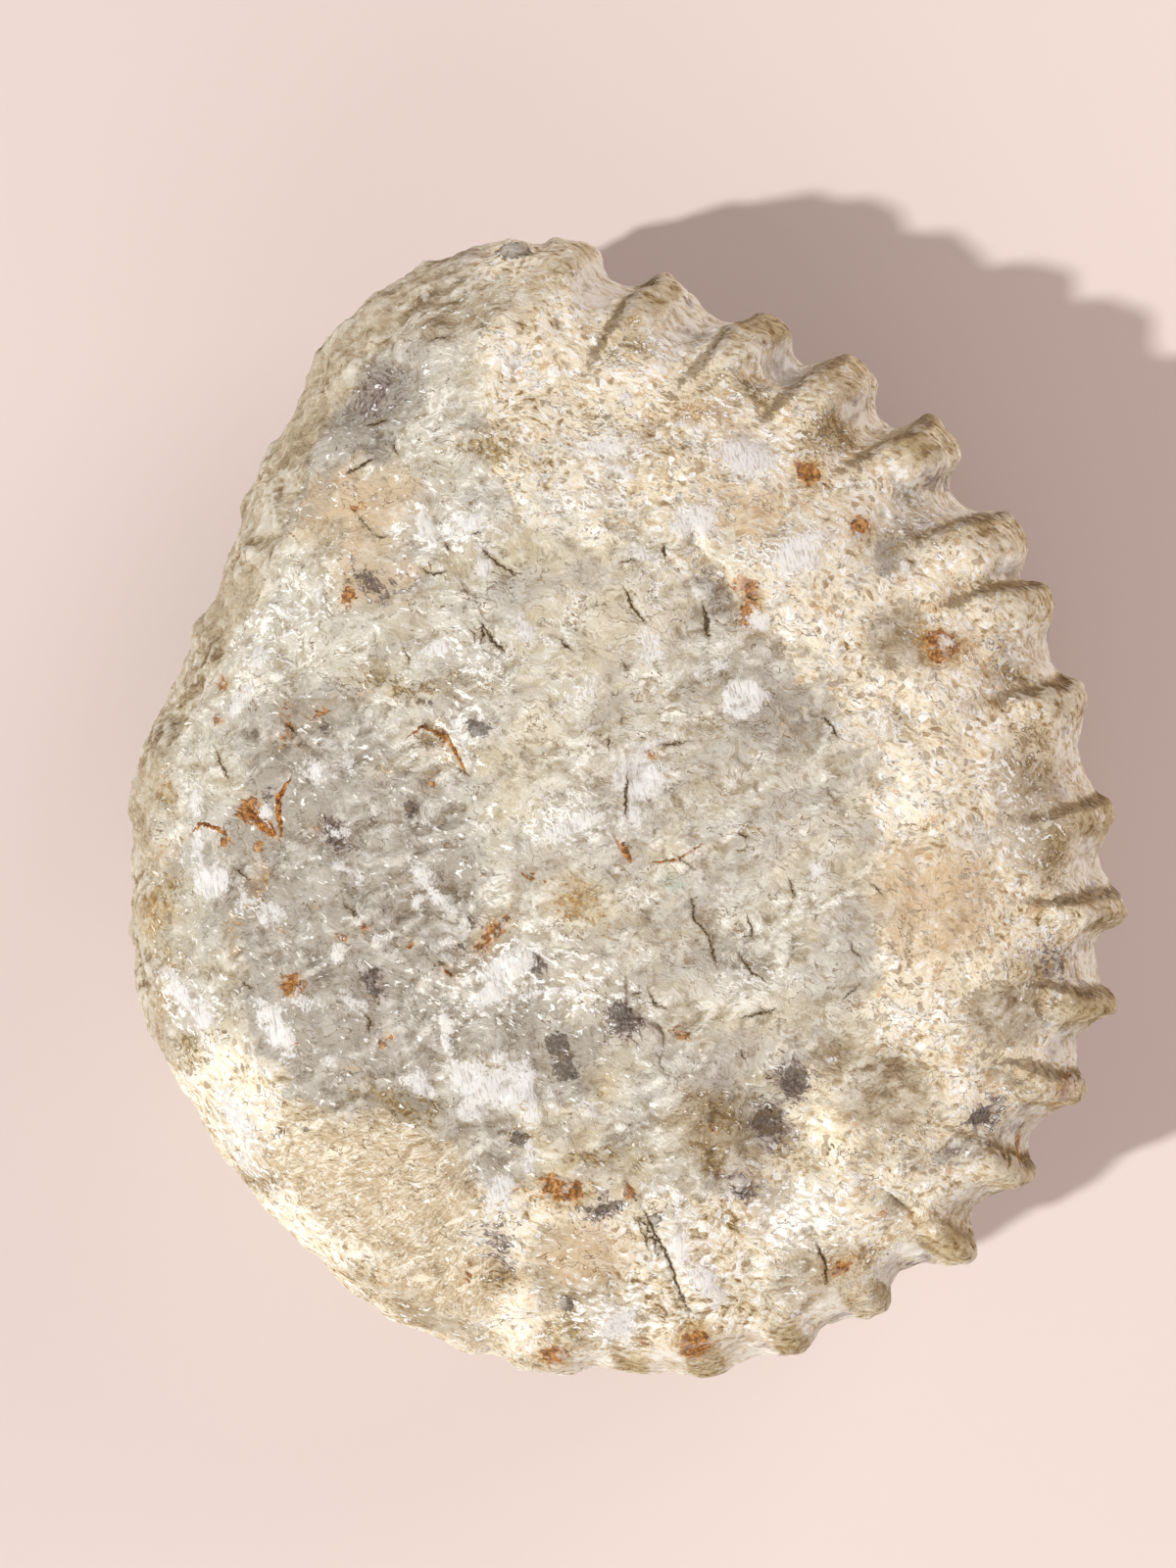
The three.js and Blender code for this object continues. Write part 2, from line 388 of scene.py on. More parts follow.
# A ledge is its drop, how far the drop reaches, and the line along its top, the low side on the right.
WEST_RIDGE = [(11.4, 0.93), (11.15, 0.93), (10.9, 0.9), (10.6, 0.89), (10.3, 0.89), (10, 0.9), (9.7, 0.91)]
LEDGES = [
    (3.4, 10, WEST_RIDGE), (1.6, 7, [(11.6, 0.86), (11.5, 0.8), (11.35, 0.76)]),
    (0.8, 4, [(11.2, 0.82), (11.35, 0.78)]), (0.8, 3, [(11.33, 0.85), (11.42, 0.82)]),
    (1.2, 7, [(10.3, 0.72), (10.6, 0.6), (10.85, 0.48), (11.2, 0.45), (11.45, 0.34)]),
    (1.0, 6, [(11, 0.42), (11.1, 0.35), (11.15, 0.25)]),
    (0.7, 5, [(1, 0.26), (1.15, 0.23), (1.35, 0.2)]),
    (0.8, 6, [(3.55, 0.31), (3.2, 0.28), (2.95, 0.25), (2.65, 0.25)]),
    (0.5, 4, [(3.9, 0.38), (3.7, 0.43)]), (0.9, 4, [(11.68, 0.54), (11.87, 0.48)]),
    (0.4, 4, [(11.62, 0.44), (11.74, 0.38)]), (0.8, 4, [(12.45, 0.5), (12.65, 0.46)]),
    (1.4, 6, [(12.6, 0.58), (12.9, 0.53), (1.05, 0.49)]),
    (2.4, 7, [(12.7, 0.62), (12.9, 0.6), (1.1, 0.56)]),
    (1.0, 5, [(6.1, 0.45), (6.7, 0.48), (7.1, 0.48), (7.5, 0.58), (7.65, 0.76)]),
    (0.8, 4, [(7.2, 0.24), (6.8, 0.19), (6, 0.13)]), (0.9, 6, [(4.9, 0.6), (4.8, 0.52), (4.6, 0.46)]),
    (1.0, 5, [(5.36, 0.58), (5.32, 0.7), (5.32, 0.83)]),
]

bulk = np.zeros(len(points))
for *place, long, wide, turn, rise in SWELLINGS:
    bulk += rise * smooth(-0.3, 0.9, inside_oval(points, *at(*place), long, wide, turn))
shaken = points + 0.9 * shakes(points, 5, 3, (61, 67, 71))
for drop, reach, stops in LEDGES:
    offset, nearest, middle = beside(shaken, [at(*stop) for stop in stops])
    slope = 0.2 + 0.4 * drop  # mm, a high ledge is less steep than a low one
    fading = np.exp(-((nearest / reach) ** 2)) * smooth(0, 0.25, middle)
    bulk -= drop * smooth(-slope, slope, offset) * fading
facing_up = smooth(-8, 2, height)
points += outward * (bulk * facing_up)[:, None]
print("swellings and ledges, mm:", bulk.min().round(1), "to", bulk.max().round(1))

# %% [markdown]
# ## Broken rock and worn shell
#
# Stone is rough at every size. Broad lumps come first, then flakes, which are noise cut into steps,
# then grain. The broken rock is the roughest, the flanks have only lumps, grain and creases, and the
# resting face is worn smooth. Each is a height along the way the skin faces, and they all add up.

# %% Roughen the stone


def chips(points, size, tilt, shift):
    """Flat chips with sharp edges: each has its own height, about 0, and its own tilt."""
    scaled = points / size + shift
    scaled += 0.3 * shakes(points, 0.6 * size, 2, (shift + 1, shift + 2, shift + 3))
    found = [noise.voronoi(p)[1][0] for p in scaled.tolist()]
    own = np.array([noise.cell_vector(middle * 3.7) for middle in found])
    across = scaled - np.array(found)
    return 0.5 * own[:, 0] + tilt * size * np.einsum("ij,ij->i", across, np.roll(own, 1, axis=1))


upper = smooth(*UPPER_SIDE, height)
broken = broken_mouth(degrees)
wall = broken * smooth(0.8, 0.93, share)
matrix = smooth(0.66, 0.54, share + 0.05 * lumps(points, 14, 2, shift=7)) * upper
rocky = np.maximum(matrix, np.maximum(wall, 0.6 * broken * upper))

bedding = 4.0 * lumps(points, 9, 3, stretch=(2.6, 0.8, 1), turn=32, shift=19)
terraces = np.floor(bedding) + smooth(0.55, 0.95, bedding % 1)  # flat treads and short risers
broad = lumps(points, 17, 3)
knobs = lumps(points, 5.5, 3, shift=3)
grain = lumps(points, 2.2, 3, shift=17)
creases = 1 - 2 * np.abs(lumps(points, 6, 3, stretch=(1.5, 0.9, 1), turn=20, shift=11))

relief = 0.9 * broad + 0.5 * knobs + 0.25 * grain - 0.35 * np.maximum(0, creases - 0.75)
on_rock = np.flatnonzero(rocky > 0.02)
for size, tilt, depth, shift in [(15, 0.10, 0.35, 5), (6, 0.13, 0.3, 9)]:
    amount = depth * rocky[on_rock] * (1 - 0.4 * wall[on_rock])
    relief[on_rock] += amount * chips(points[on_rock], size, tilt, shift)
relief += 0.33 * terraces * rocky + (0.3 * knobs - 0.3) * wall
worn = smooth(0.2, 3.5, points[:, 2])
points += outward * (relief * worn)[:, None]
print("roughness, mm:", relief.min().round(1), "to", relief.max().round(1))

# %% [markdown]
# ## Cracks and marks
#
# A crack is a line that wanders over the stone. For every point of the skin it is enough to know how
# far it is from the line, on which side, and how wide the crack is there. The carving then sinks a
# groove, and the painting later darkens it, both from the same numbers. A patch, such as a plate of
# white calcite, is an oval. The marks that catch the eye are told one by one, by the clock. The small
# ones, and what fills up the broad stains, only have to be many and uneven, so a throw of dice places
# them, the same throw each time.

# %% Throw marks over a stretch of the stone
dice = np.random.default_rng(11)


def flecks_between(count, hours, shares, longest):
    """Ovals up to a half length, thrown at random between two hours and two shares."""
    rows = []
    for _ in range(count):
        long = longest * dice.uniform(0.35, 1)
        wide = long * dice.uniform(0.35, 0.8)
        rows.append((dice.uniform(*hours), dice.uniform(*shares), long, wide, dice.uniform(-70, 70)))
    return ovals(rows)


def hairlines_between(count, hours, shares):
    """Short fine cracks thrown at random, most of them running down to the right."""
    lines = []
    for _ in range(count):
        start = at(dice.uniform(*hours), dice.uniform(*shares))
        stride = dice.uniform(1, 2.5) * np.array([dice.uniform(0.2, 1), dice.uniform(-1, 0.1)])
        bend = dice.uniform(-0.8, 0.8, 2)
        lines.append((dice.uniform(0.18, 0.26), [start, start + stride + bend, start + 2 * stride]))
    return lines


# %% Place the cracks, veins and threads
# A line is its width in millimetres, then the hours and shares that it runs through.
CRACKS = routes([
    (0.35, [(11.2, 0.82), (11.28, 0.8), (11.35, 0.78)]), (0.35, [(11.33, 0.85), (11.42, 0.82)]),
    (0.25, [(11.41, 0.78), (11.43, 0.75)]), (0.2, [(11.2, 0.7), (11.27, 0.67)]),
    (0.25, [(11.52, 0.58), (11.54, 0.56)]), (0.3, [(11.37, 0.58), (11.42, 0.55), (11.5, 0.54)]),
    (0.4, [(11.68, 0.54), (11.77, 0.51), (11.87, 0.48)]),
    (0.45, [(11.62, 0.44), (11.66, 0.41), (11.74, 0.38)]), (0.25, [(11.63, 0.87), (11.7, 0.86)]),
    (0.35, [(12.13, 0.4), (12.22, 0.39)]), (0.4, [(12.45, 0.5), (12.55, 0.48), (12.65, 0.46)]),
    (0.4, [(12.6, 0.58), (12.63, 0.56)]), (0.5, [(12.9, 0.53), (12.97, 0.51), (1.03, 0.49)]),
    (0.25, [(12.68, 0.29), (12.72, 0.27)]), (0.4, [(1, 0.26), (1.15, 0.23), (1.35, 0.2)]),
    (0.2, [(1.1, 0.31), (1.2, 0.33), (1.35, 0.36)]), (0.4, [(1.8, 0.54), (1.85, 0.55), (1.95, 0.55)]),
    (0.3, [(2.65, 0.25), (2.95, 0.25), (3.2, 0.28), (3.55, 0.31)]),
    (0.25, [(3.3, 0.33), (3.45, 0.36), (3.5, 0.39)]), (0.25, [(2.68, 0.41), (2.85, 0.42)]),
    (0.25, [(3.14, 0.51), (3.23, 0.53)]), (0.2, [(3.38, 0.54), (3.5, 0.52)]),
    (0.3, [(3.88, 0.38), (3.8, 0.4), (3.7, 0.43)]), (0.3, [(9.9, 0.79), (9.78, 0.74)]),
    (0.25, [(4.12, 0.42), (4.15, 0.44)]),
    (0.5, [(5.36, 0.58), (5.34, 0.65), (5.32, 0.7), (5.33, 0.75), (5.32, 0.83)]),
    (0.2, [(5.42, 0.6), (5.4, 0.68)]), (0.3, [(4.67, 0.79), (4.69, 0.83), (4.75, 0.88)]),
])
CRACKS += hairlines_between(10, (10.8, 13.2), (0.3, 0.75)) + hairlines_between(9, (2, 5), (0.2, 0.55))
CRACKS += hairlines_between(6, (7.8, 10.5), (0.3, 0.8))
RUST_VEINS = routes([
    (0.8, [(9.43, 0.82), (9.5, 0.8), (9.5, 0.75), (9.43, 0.71)]),
    (1.4, [(9.68, 0.69), (9.6, 0.65), (9.54, 0.6)]), (1.1, [(10, 0.61), (9.8, 0.62), (9.54, 0.6)]),
    (1.2, [(1.4, 0.17), (1.7, 0.17), (1.95, 0.17)]), (0.5, [(2.05, 0.19), (2.2, 0.24), (2.15, 0.29)]),
    (0.8, [(10.75, 0.43), (10.95, 0.41), (11.1, 0.35), (11.1, 0.27)]),
    (0.5, [(4.67, 0.8), (4.69, 0.83), (4.75, 0.88)]), (0.6, [(8.1, 0.25), (7.8, 0.24)]),
])
CALCITE_THREADS = routes([
    (0.9, [(12.1, 0.12), (12.5, 0.14), (1.1, 0.2)]), (0.8, [(11, 0.44), (11.2, 0.36), (11.2, 0.25)]),
    (0.8, [(7.3, 0.2), (6.5, 0.17), (5, 0.14), (4.4, 0.16)]),
    (0.7, [(9.75, 0.3), (9.5, 0.25), (9.2, 0.22)]), (0.6, [(12.05, 0.3), (12.5, 0.35)]),
    (0.6, [(3.2, 0.33), (3.6, 0.36)]), (0.5, [(11.1, 0.5), (11.4, 0.46)]),
])

# %% Place the crisp patches
# A patch is its hour and share, its half length and half width in millimetres, and its turn in
# degrees, where it has one.
CALCITE = ovals([
    (6.56, 0.37, 8, 3.5, -20), (6.21, 0.33, 2.5, 3), (6.67, 0.44, 2.5, 2.2),
    (6.08, 0.38, 1.5, 3), (7.35, 0.33, 1.2, 4, 10), (7.2, 0.46, 3, 2, -30), (7.1, 0.2, 3.5, 2, 40),
    (7.2, 0.13, 5, 2.5, 25), (6.1, 0.49, 1, 2.5, -10), (6.3, 0.57, 2.5, 3),
    (10.15, 0.79, 3.5, 1.5, 55), (10.4, 0.8, 1.7, 1.7), (9.6, 0.81, 1.3, 2.8),
    (9.35, 0.8, 1.2, 4.5, 5), (9.2, 0.76, 3.5, 3), (10.1, 0.57, 3, 1.7, -15),
    (10.3, 0.52, 2, 0.8, -60), (9.05, 0.62, 3, 1.5, -15), (9.65, 0.27, 4, 1.3, -60),
    (9.15, 0.2, 2.5, 1, -40), (8.7, 0.46, 1.5, 2), (8.35, 0.57, 3, 1, -15),
    (8.25, 0.66, 5.5, 2.3, -58), (8.6, 0.86, 4.5, 1.5, -45), (8.45, 0.82, 2, 3),
    (7.85, 0.87, 5, 1.7, -60), (7.7, 0.93, 3.5, 1, -50), (1.4, 0.46, 4, 3.2, 30),
    (1.15, 0.46, 2.8, 0.7, 20), (12.75, 0.43, 4.5, 1.5, -60), (1.15, 0.26, 4.5, 4),
    (1, 0.3, 3, 0.8, 15), (2.65, 0.46, 1.2, 1.9), (12.5, 0.14, 6, 1.5, 20), (1.35, 0.21, 2, 2.5),
    (11.45, 0.62, 1.5, 3.5, 10), (11.65, 0.58, 3.5, 1.5), (11.7, 0.52, 1.5, 2.2),
    (10.85, 0.74, 1, 1.7, 10), (11.3, 0.46, 3, 1.5, 20), (12.8, 0.93, 3, 3.5),
    (12.8, 0.76, 5, 3.2, -10), (12.7, 0.63, 4, 2.3, 10), (12.25, 0.69, 5.5, 1.3, 5),
    (1.15, 0.67, 5.5, 3, 35), (1.2, 0.56, 1.8, 1.8), (3.85, 0.56, 1.3, 0.7),
    (3.65, 0.78, 0.8, 0.8), (4.35, 0.74, 0.6, 2, -20), (5.25, 0.68, 1.5, 4.5, 15),
    (5.2, 0.77, 2, 5, 30), (5.65, 0.84, 3.5, 3),
])
RUST = ovals([
    (9.67, 0.68, 2, 2.5, -40), (10.25, 0.68, 0.9, 2.7, -5), (10.43, 0.62, 2.2, 0.8, 25),
    (10.15, 0.64, 1.6, 0.4, -15), (10.2, 0.85, 1, 1.3), (8.9, 0.4, 0.8, 1),
    (8.8, 0.45, 1.2, 1), (8.65, 0.3, 0.6, 0.6), (8.4, 0.12, 4, 1.5, 42),
    (11.75, 0.06, 2.3, 0.7, -15), (8.5, 0.58, 2.3, 2), (7.75, 0.45, 0.8, 1.6, -20),
    (11.05, 0.36, 1.5, 1.3), (10.7, 0.33, 1.2, 1), (1.1, 0.3, 1.2, 0.8),
    (4.3, 0.33, 2, 1, -15), (1.15, 0.56, 1.5, 3, 10), (1.05, 0.59, 2.5, 2, -40),
    (1.03, 0.79, 3, 1.8, -25), (1.3, 0.78, 1.6, 2.6), (1.85, 0.77, 3, 3), (11.2, 0.76, 1, 0.8),
    (10.97, 0.68, 1.2, 2), (5.85, 0.54, 4, 2.2, -10), (5.85, 0.46, 1.3, 0.5, -30),
    (5.4, 0.55, 2.2, 1, -50), (5.35, 0.9, 3, 3), (5.95, 0.92, 2.5, 2), (4.65, 0.87, 2.5, 1.2, 30),
    (3.87, 0.96, 1, 3.5, -15), (3.62, 0.97, 1, 3.5, -20),
])
DARK_SPOTS = ovals([
    (9.8, 0.64, 0.9, 2.2, -10), (10.35, 0.36, 2.8, 1.1, -50), (9.73, 0.48, 1.5, 3.5, 20),
    (8.3, 0.42, 1.3, 3.6, 30), (8.95, 0.16, 1.6, 1.1, -20), (11.05, 0.43, 1.4, 0.5),
    (11.4, 0.31, 2.2, 1.3, -10), (6.5, 0.09, 3.5, 1.8, -30), (11.92, 0.98, 3.5, 2, -15),
    (11.1, 0.66, 2.8, 1.3, -35), (3.17, 0.88, 1, 3, 20), (4.1, 0.53, 2.2, 3.2),
    (4.4, 0.56, 3, 2.5, -40), (4.8, 0.63, 2, 1.3, -30), (4.65, 0.23, 3.2, 2.2, -20),
    (5.6, 0.58, 3, 1.2, 10), (3.82, 0.85, 2.5, 1.6), (5.7, 0.3, 2.5, 1.8), (5.75, 0.25, 2, 2),
    (7.68, 0.79, 1.1, 0.7), (7.6, 0.73, 0.8, 0.6), (5.88, 0.79, 1.7, 1.6),
    (6.2, 0.45, 2, 1.8),
])
COPPER_STAIN = ovals([(2.5, 0.22, 2, 2)])

# %% Place the broad stains
GREY_ROCK = ovals([
    (9.3, 0.45, 24, 22), (10.2, 0.6, 14, 11), (8.2, 0.5, 22, 17, -30), (7, 0.24, 14, 10),
    (5.8, 0.27, 9, 8), (11.4, 0.87, 12, 8, 45), (11.05, 0.86, 6, 7), (1.65, 0.48, 8, 7),
    (1.45, 0.8, 6, 4, 30), (3.42, 0.87, 6, 2.5, 5), (3.95, 0.88, 7, 3, 15), (6.32, 0.5, 3, 5),
    (3.35, 0.35, 6, 5),
])
FAN = ovals([
    (7.12, 0.7, 20, 13.5, -38), (6.53, 0.8, 12, 8, -25), (7.52, 0.76, 9, 7, -45),
])
OLIVE_CRUST = ovals([
    (12.7, 0.85, 7, 3, -10), (12.3, 0.86, 5, 3), (1, 0.88, 3, 7, -30), (1.5, 0.86, 7, 2, 5),
    (1.8, 0.9, 7, 2, 5), (2.1, 0.87, 6, 2, -20), (2.45, 0.86, 5, 2.5, -20), (2.78, 0.87, 3, 6),
    (3.2, 0.84, 6, 3, -10), (3.3, 0.92, 6, 2.5, -10), (8.75, 0.87, 4, 2.5, -15),
    (11.6, 0.36, 7, 2.5, -5), (11, 0.48, 10, 2, -10), (4.8, 0.53, 2.5, 6.5, 35), (4.6, 0.47, 5, 3, -45),
    (11.8, 0.67, 7, 2.5, -5), (5.72, 0.86, 2.5, 2.5), (5.85, 0.86, 4, 4), (6.2, 0.76, 3, 3),
    (5.5, 0.48, 7, 2.5), (7.2, 0.52, 8, 2.5, -15), (6.2, 0.45, 2.4, 2.2),
])
OCHRE_STAIN = ovals([
    (12.3, 0.91, 4, 2.2, 15), (12.6, 0.79, 6, 2.5, -10), (1.03, 0.8, 4, 3, -25), (1.3, 0.78, 3, 3),
    (1.1, 0.58, 3, 5, 20), (1.85, 0.77, 5, 4), (8.85, 0.7, 1, 3, -5), (8.4, 0.12, 5, 2.2, 42),
    (7.9, 0.24, 3, 1.2, -25), (1.9, 0.06, 3.5, 2.5, -30), (2.7, 0.09, 1.5, 2.5),
    (9.25, 0.65, 1, 2), (5.25, 0.34, 1.3, 1.3), (5.85, 0.55, 6, 3.5, -10), (5.35, 0.9, 5, 4.5),
    (5.95, 0.92, 4, 3), (4.65, 0.87, 4, 2.2, 30), (4.28, 0.97, 2.5, 2.5),
    (3.87, 0.96, 2, 4.5, -15), (3.62, 0.97, 2, 4.5, -20), (6.2, 0.76, 3, 3),
    (11.05, 0.36, 4, 3, -40), (11.1, 0.96, 2, 1, -15),
])
# Violet-brown stain, and painted shade in hollows between the ribs and under overhangs.
VIOLET_STAIN_AND_PAINTED_SHADE = ovals([
    (12.93, 0.56, 7.5, 2, -48), (4.1, 0.53, 4, 4.5), (4.4, 0.56, 5, 4, -40),
    (4.75, 0.62, 5, 3.5, -30), (3.82, 0.85, 4, 3), (4.03, 0.84, 4, 1.5, -10),
    (3.17, 0.88, 2.5, 4.5, 20), (5.6, 0.58, 4, 2, 10), (5.2, 0.6, 2.5, 1.5, 30),
    (6.27, 0.68, 2.5, 7, 10), (9.73, 0.48, 2.5, 4.5, 20), (8.3, 0.42, 2.5, 4.5, 30),
    (11.1, 0.65, 4.5, 2.5, -35), (11.2, 0.6, 3.5, 1.5, 30), (6.5, 0.09, 4.5, 3, -30),
    (4.65, 0.23, 4.5, 3.5, -20), (11.4, 0.88, 6, 4, 30), (2, 0.87, 3, 2, -30),
    (12.15, 0.96, 3.5, 2, -10), (11.4, 0.31, 3, 2, -10), (1.45, 0.87, 5, 1.5, 5),
])
TAN_ROCK = ovals([
    (11.7, 0.9, 16, 6, 10), (10.6, 0.93, 5, 14, -30), (5.85, 0.72, 8, 9), (4.7, 0.5, 11, 7, -45),
    (6.5, 0.93, 12, 4, -25), (3.9, 0.66, 12, 8, -40), (2.6, 0.84, 6, 12, 10), (3.4, 0.8, 9, 6),
    (4.8, 0.85, 9, 6, 30), (1.75, 0.72, 8, 6),
])
PEACH_TINT = ovals([
    (11.2, 0.75, 12, 9), (11.1, 0.66, 8, 5), (5.75, 0.68, 8, 6), (12.95, 0.67, 9, 7),
    (2.9, 0.65, 11, 11),
])
CHALKY = ovals([
    (10.65, 0.79, 6, 2, 20), (10.5, 0.84, 4, 3), (12.4, 0.15, 9, 5, 10), (7.1, 0.15, 9, 4, 25),
    (4.9, 0.15, 7, 3), (3.58, 0.35, 5, 3.5, -20), (12.8, 0.93, 4.5, 4.5), (1.38, 0.88, 5, 4),
    (12.45, 0.89, 6, 4, 15), (12.8, 0.76, 7, 4.5, -10), (12.7, 0.63, 6, 4, 10), (12.25, 0.68, 8, 4),
    (12.2, 0.6, 8, 4), (1.15, 0.67, 8, 5, 35), (5.25, 0.7, 3, 8, 20), (5.65, 0.83, 6, 5),
    (4.65, 0.74, 8, 6), (2.05, 0.92, 3, 4, 20), (2.7, 0.95, 2, 5), (11.6, 0.58, 7, 4),
    (11.3, 0.33, 5, 5), (8.55, 0.85, 5, 4, -30), (7.8, 0.89, 3, 6, 30),
])
# The rest is thrown: small marks, then what fills up the rim's crust and the broad stains.
THROWN = [
    (CALCITE, 26, (7.8, 11), (0.2, 0.85), 1.8), (CALCITE, 20, (11.6, 14), (0.4, 0.85), 2.2),
    (CALCITE, 8, (4.6, 6.6), (0.2, 0.9), 1.8), (RUST, 12, (8, 10.8), (0.25, 0.85), 1.1),
    (RUST, 8, (4, 6.5), (0.45, 0.9), 1.3), (DARK_SPOTS, 12, (8, 10.5), (0.15, 0.7), 1.4),
    (DARK_SPOTS, 8, (3.8, 6.4), (0.2, 0.75), 1.3), (OLIVE_CRUST, 9, (12.2, 13.6), (0.82, 0.98), 5),
    (OLIVE_CRUST, 20, (3.4, 7.6), (0.9, 1), 6), (OLIVE_CRUST, 5, (13.6, 15.4), (0.86, 0.94), 4),
    (OLIVE_CRUST, 10, (8.2, 10.4), (0.88, 0.96), 5), (OCHRE_STAIN, 14, (8.5, 10), (0.89, 0.97), 5),
    (TAN_ROCK, 10, (14.5, 17), (0.6, 0.88), 6), (CHALKY, 16, (11.6, 15.5), (0.3, 0.85), 7),
]
for marks, count, hours, shares, longest in THROWN:
    marks += flecks_between(count, hours, shares, longest)

# %% Measure every point against the lines and patches
FAR = -1.0  # mm, the width given where no line is near
LINE_REACH = 1.8  # mm, no line is seen from further away
EDGE = 5  # mm, the most that a depth inside or outside a patch can be
LINES_END = 3  # mm below the rim
PATCHES_END = 12  # mm below the rim


def against_lines(points, lines):
    """Each point's signed distance from the nearest line, and that line's half width there."""
    nearest = np.full(len(points), LINE_REACH)
    offset = nearest.copy()
    half_width = np.full(len(points), FAR)
    for width, route in lines:
        low_corner, high_corner = np.min(route, axis=0) - LINE_REACH, np.max(route, axis=0) + LINE_REACH
        close = np.all((points[:, :2] > low_corner) & (points[:, :2] < high_corner), axis=1)
        near = np.flatnonzero(close & (points[:, 2] > RIM_HEIGHT - LINES_END))
        side, distance, middle = beside(points[near], route)
        better = distance < nearest[near]
        nearest[near[better]] = distance[better]
        offset[near[better]] = side[better]
        half_width[near[better]] = 0.5 * width * (1 - (1 - middle[better]) ** 3)
    return offset, half_width


def depth_in_patches(points, patches, wobble):
    """How many millimetres each point is inside the edge of a patch, and negative outside."""
    spread = points[:, :2] + wobble
    deepest = np.full(len(points), -float(EDGE))
    upper_side = points[:, 2] > RIM_HEIGHT - PATCHES_END
    below_rim = EDGE * smooth(RIM_HEIGHT + 1, RIM_HEIGHT - 9, points[:, 2])
    for x, y, long, wide, turn in patches:
        room = max(long, wide) + EDGE
        near = np.flatnonzero(np.all(np.abs(spread - (x, y)) < room, axis=1) & upper_side)
        depth = inside_oval(spread[near], x, y, long, wide, turn) * min(long, wide)
        deepest[near] = np.maximum(deepest[near], depth)
    return np.clip(deepest - below_rim, -EDGE, EDGE)


def ragged(points, size, amount):
    """A sideways shift that makes the edge of every patch wander."""
    return amount * shakes(points, size, 3, (31, 37))


# %% Cut the cracks and raise the calcite
PLATE_HEIGHT, GROOVE_DEPTH = 0.3, 0.2
crack_offset, crack_width = against_lines(points, CRACKS)
groove = bell(crack_offset, np.maximum(crack_width, 0.05) + 0.3) * smooth(0, 0.25, crack_width)
plates = smooth(-0.5, 0.5, depth_in_patches(points, CALCITE, ragged(points, 4, 0.8)))
points += outward * (PLATE_HEIGHT * plates - GROOVE_DEPTH * groove)[:, None]

# %% [markdown]
# ## Back to a lighter skin
#
# The carved skin is heavier than a reusable part should be. The decimate modifier merges points
# where the stone is plain and keeps them where it is broken, so little of the carving is lost.
# The skin is kept inside the block's own box first, and flat where the fossil rests.

# %% Fit the skin to the block's box and thin it
MOST_TRIANGLES = 196_000
points = np.clip(points, low, high)
skin.vertices.foreach_set("co", (points * MM).astype(np.float32).ravel())
skin.update()
triangles = sum(len(face.vertices) - 2 for face in skin.polygons)
if triangles > MOST_TRIANGLES:
    skin = with_modifier(skin, "DECIMATE", ratio=MOST_TRIANGLES / triangles)
skin.polygons.foreach_set("use_smooth", np.ones(len(skin.polygons), bool))
stone = put("fossil_stone", skin)
points = points_of(skin)
print("stone:", len(skin.polygons), "faces, from", triangles, "triangles")

# %% [markdown]
# ## Where each colour goes
#
# Painting by numbers: every point of the skin gets a few plain values, such as how far inside a
# rust patch it is, and the material turns them into colour. The values are smooth, and the fine
# ragged edges come from noise in the material, so they stay sharp however far apart the points are.

# %% Store the values on the mesh
WALL_REACH = 25  # mm, how far the wall under the west ridge goes


def store(name, values):
    """Keeps one value for each point, under a name that the material can ask for."""
    layer = skin.attributes.new(name, "FLOAT", "POINT")
    layer.data.foreach_set("value", np.asarray(values, np.float32))


skin_edges = neighbours(skin)
smoothed = points
# How deep each point sits in a small hollow and in a wide one, for the painted shade in hollows and the
# painted highlight on ridges.
for name, rounds, full_depth in [("hollow", 5, 0.35), ("valley", 40, 1.2)]:
    smoothed = soften(smoothed, skin_edges, rounds)
    depth = np.einsum("ij,ij->i", smoothed - points, rows_of(skin, "normal"))
    store(name, np.clip(depth / full_depth, -1, 1))

degrees, radius = round_the_coil(points)
share = radius / np.interp(degrees, FINE, furrow)
upper = smooth(*UPPER_SIDE, points[:, 2] - RIM_HEIGHT)
broken = broken_mouth(degrees)
wander = ragged(points, 7, 2.2)
small_wander = ragged(points, 3.0, 0.9)
for name, patches, shift in [
    ("grey", GREY_ROCK, wander), ("olive", OLIVE_CRUST, wander), ("ochre", OCHRE_STAIN, wander),
    ("fan", FAN, wander), ("violet_stain_and_shade", VIOLET_STAIN_AND_PAINTED_SHADE, wander), ("peach", PEACH_TINT, wander),
    ("chalky", CHALKY, wander),
    ("calcite", CALCITE, small_wander), ("rust", RUST, small_wander), ("dark", DARK_SPOTS, small_wander),
    ("copper", COPPER_STAIN, wander), ("tan", TAN_ROCK, wander),
]:
    store(name, depth_in_patches(points, patches, shift))
for name, lines in [("crack", CRACKS), ("vein", RUST_VEINS), ("thread", CALCITE_THREADS)]:
    offset, half_width = against_lines(points, lines)
    store(name + "_offset", offset)
    store(name + "_width", half_width)
flank = smooth(0.48, 0.66, share + 0.05 * lumps(points, 9, 3)) * (1 - 0.9 * broken)
store("flank", np.maximum(flank, 1 - upper))
rib_angle = wandering(points, degrees - sweep(degrees, share))
on_shell = (1 - smooth(MOUTH_AT - 6, MOUTH_AT, rib_angle)) * smooth(LAST_RIB - 6, LAST_RIB, rib_angle)
from_lip = np.min([np.abs(rib_angle - crest - LIP_AT * form(3, crest)) for crest in crest_angle], axis=0)
sharp_ribs = on_shell * smooth(*SHARP_RIBS, rib_angle)
